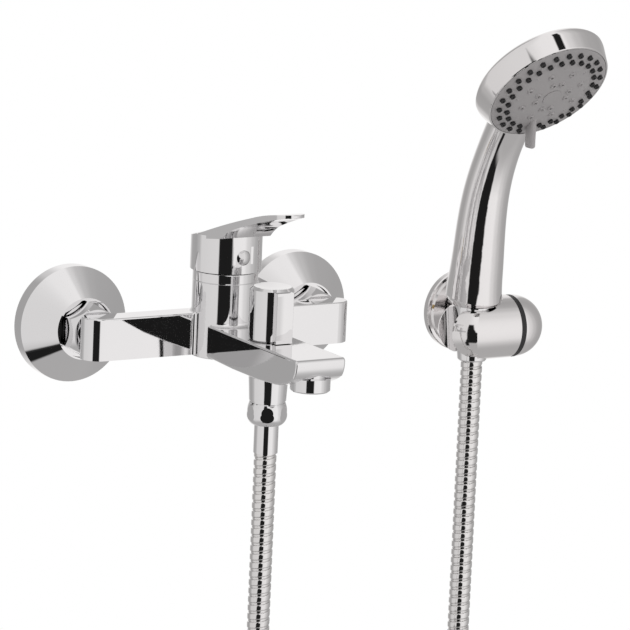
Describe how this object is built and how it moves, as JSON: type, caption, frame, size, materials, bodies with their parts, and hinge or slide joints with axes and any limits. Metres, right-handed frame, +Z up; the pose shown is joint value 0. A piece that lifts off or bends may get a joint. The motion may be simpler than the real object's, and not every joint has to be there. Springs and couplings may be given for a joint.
{
  "type": "bath mixer",
  "caption": "Wall bath mixer with a lever, a diverter knob and an aerator, and a hand shower on a ribbed hose, standing in a tilting wall holder.",
  "frame": {"origin": "midway between the two wall inlets, in the plane of the wall", "axes": "+Z up, +Y into the wall, +X from the left inlet to the right one as seen from the front"},
  "size_m": [0.3335, 0.1814, 0.56],
  "materials": {
    "chrome": "polished chrome plating on brass or zinc",
    "chromed_plastic": "polished chrome plating on plastic",
    "hose_metal": "bright metal strip over a rubber liner",
    "brass": "machined",
    "steel": "machined",
    "rubber": "matt",
    "white_plastic": "moulded",
    "grey_plastic": "satin",
    "ceramic": "lapped ceramic",
    "plug_plastic": "polished"
  },
  "bodies": {
    "mixer": {"wall_connector_left": "brass", "wall_connector_right": "brass", "escutcheon_left": "chrome", "escutcheon_right": "chrome", "union_nut_left": "chrome", "union_nut_right": "chrome", "union_tail_left": "chrome", "union_tail_right": "chrome", "inlet_washer_left": "rubber", "inlet_washer_right": "rubber", "mixer_body": "chrome", "cartridge_base": "white_plastic", "port_seals": "rubber", "ceramic_disc_fixed": "ceramic", "cartridge_housing": "white_plastic", "cartridge_nut": "brass", "dome_ring": "chrome", "diverter_gland": "chrome", "diverter_seat_seal": "rubber", "aerator_housing": "chrome", "aerator_insert": "white_plastic", "aerator_washer": "rubber", "hose_nut_mixer": "chrome", "hose_washer_mixer": "rubber", "hose_ferrule_mixer": "chrome", "hose_run_mixer": "hose_metal", "hose_coil": "hose_metal", "coil_ties": "white_plastic", "hose_run_shower": "hose_metal", "friction_ring": "rubber", "holder_arm": "chromed_plastic", "pivot_screw": "steel", "arm_screw": "steel", "holder_base": "white_plastic", "holder_cover": "chromed_plastic"},
    "control_rotor": {"cartridge_rotor": "white_plastic", "rotor_pivot_pin": "steel"},
    "lever": {"lever_handle": "chrome", "lever_stem": "steel", "lever_screw": "steel", "indicator_plug": "plug_plastic"},
    "moving_disc": {"disc_carrier": "white_plastic", "ceramic_disc_moving": "ceramic"},
    "diverter": {"diverter_knob": "chrome", "diverter_spindle": "brass", "diverter_valve": "brass", "diverter_screw": "steel"},
    "holder": {"cradle": "chromed_plastic"},
    "hand_shower": {"shower_shell": "chromed_plastic", "shower_waterway": "white_plastic", "spray_body": "white_plastic", "spray_seal": "rubber", "hose_nut_shower": "chrome", "hose_washer_shower": "rubber", "hose_ferrule_shower": "chrome"},
    "spray_face": {"face_plate": "grey_plastic", "nozzle_sheet": "rubber", "centre_disc": "grey_plastic", "face_screw": "chromed_plastic"}
  },
  "joints": [
    {"name": "lever_yaw", "type": "hinge", "parent": "mixer", "child": "control_rotor", "pos_m": [0, -0.0539, 0.038], "axis": [0, 0, 1], "range_deg": [-45, 45]},
    {"name": "lever_lift", "type": "hinge", "parent": "control_rotor", "child": "lever", "pos_m": [0, -0.0539, 0.034], "axis": [-1, 0, 0], "range_deg": [0, 22]},
    {"name": "disc_slide", "type": "slide", "parent": "control_rotor", "child": "moving_disc", "axis": [0, -1, 0], "range_m": [0, 0.0048]},
    {"name": "diverter_turn", "type": "hinge", "parent": "mixer", "child": "diverter", "pos_m": [0, -0.1087, 0.02], "axis": [0, 0, 1], "range_deg": [0, 90]},
    {"name": "holder_tilt", "type": "hinge", "parent": "mixer", "child": "holder", "pos_m": [0.19, -0.048, -0.0116], "axis": [1, 0, 0], "range_deg": [-20, 25], "deforming": ["hose_run_shower"]},
    {"name": "shower_lift", "type": "slide", "parent": "holder", "child": "hand_shower", "axis": [0, 0, 1], "range_m": [0, 0.03], "deforming": ["hose_run_shower"]},
    {"name": "spray_select", "type": "hinge", "parent": "hand_shower", "child": "spray_face", "pos_m": [0.1829, -0.10869, 0.1425], "axis": [0.0639, -0.7611, -0.6455], "range_deg": [-30, 30]}
  ],
  "couplings": [
    {"joint": "disc_slide", "follows": "lever_lift", "m_per_rad": 0.012}
  ]
}
